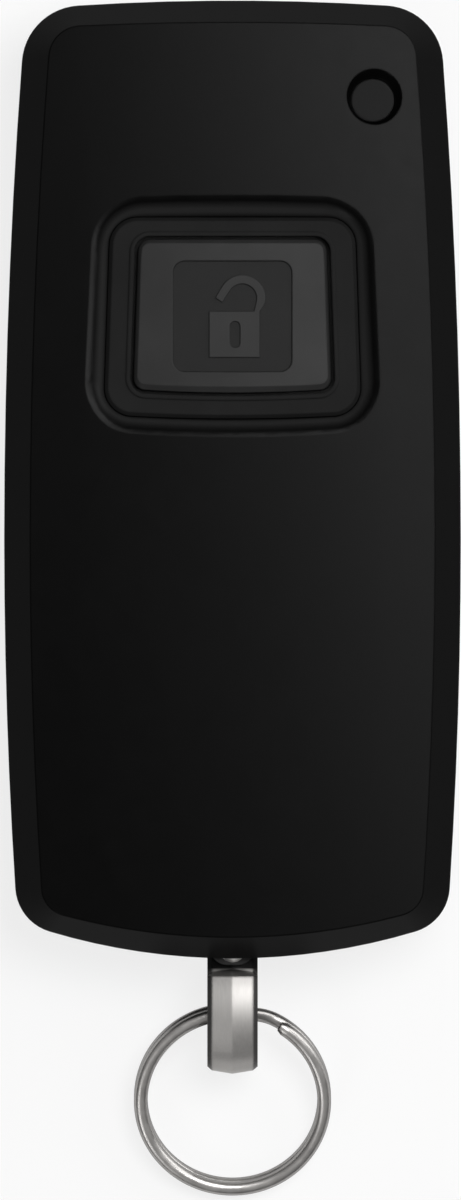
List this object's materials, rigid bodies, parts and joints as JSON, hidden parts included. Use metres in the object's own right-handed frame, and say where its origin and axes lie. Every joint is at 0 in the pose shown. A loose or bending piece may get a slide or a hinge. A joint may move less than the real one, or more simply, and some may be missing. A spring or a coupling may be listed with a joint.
{
  "type": "smart lock remote",
  "caption": "Slim black sealed remote with a wide push button in a dished recess, a round status window, a swinging metal hanger and a split ring.",
  "frame": {"origin": "middle of the flat back face, on which the remote lies", "axes": "+Z out of the face with the button, +Y along the body towards its plain end, -Y towards the hanger and ring, +X to the right seen from the face"},
  "size_m": [0.038, 0.0998, 0.0142],
  "materials": {
    "case": "fine satin grain",
    "seal_rubber": "matt",
    "bezel": "satin",
    "button": "satin",
    "membrane_rubber": "matt",
    "smoked_window": "smoked, satin",
    "led": "clear moulding",
    "board": "lacquered",
    "switch_plastic": "matt",
    "plated_steel": "plated",
    "ferrite": "sintered",
    "copper_wire": "enamelled wire",
    "chip": "moulded epoxy",
    "ceramic": "matt",
    "cell": "bright nickel",
    "tray": "moulded",
    "spring_contact": "plated spring",
    "screw_steel": "black oxide",
    "black_steel": "black, satin",
    "polished_steel": "polished",
    "brushed_metal": "fine brushed satin",
    "ring_steel": "tumbled nickel"
  },
  "bodies": {
    "case": {"front_cover": "case", "rear_cover": "case", "case_seal": "seal_rubber", "button_bezel": "bezel", "button_membrane": "membrane_rubber", "status_lens": "smoked_window", "status_led": "led", "circuit_board": "board", "switch_housing": "switch_plastic", "switch_cover": "plated_steel", "switch_terminals": "plated_steel", "lf_coil_core": "ferrite", "lf_coil_windings": "copper_wire", "control_chip": "chip", "radio_chip": "chip", "crystal": "plated_steel", "chip_components": "ceramic", "loop_antenna": "copper_wire", "coin_cell_can": "cell", "coin_cell_cap": "cell", "battery_tray": "tray", "battery_contact_negative": "spring_contact", "battery_contact_positive": "spring_contact", "case_screws": "screw_steel", "hanger_bracket": "black_steel", "hanger_pin": "polished_steel"},
    "button": {"button_cap": "button"},
    "plunger": {"switch_plunger": "switch_plastic"},
    "hanger": {"hanger": "brushed_metal"},
    "ring": {"split_ring": "ring_steel"}
  },
  "joints": [
    {"name": "button_press", "type": "slide", "parent": "case", "child": "button", "axis": [0, 0, -1], "range_m": [0, 0.0004], "stiffness_N_per_m": 3000, "deforming": ["button_membrane"]},
    {"name": "plunger_press", "type": "slide", "parent": "case", "child": "plunger", "axis": [0, 0, -1], "range_m": [0, 0.0004]},
    {"name": "hanger_swing", "type": "hinge", "parent": "case", "child": "hanger", "pos_m": [0, -0.03915, 0.006], "axis": [0, 0, 1], "range_deg": [-20, 20]},
    {"name": "ring_swing", "type": "hinge", "parent": "hanger", "child": "ring", "pos_m": [0, -0.04443, 0.00538], "axis": [-1, 0, 0], "range_deg": [-85, 110]}
  ],
  "couplings": [
    {"joint": "plunger_press", "follows": "button_press", "ratio": 1}
  ]
}
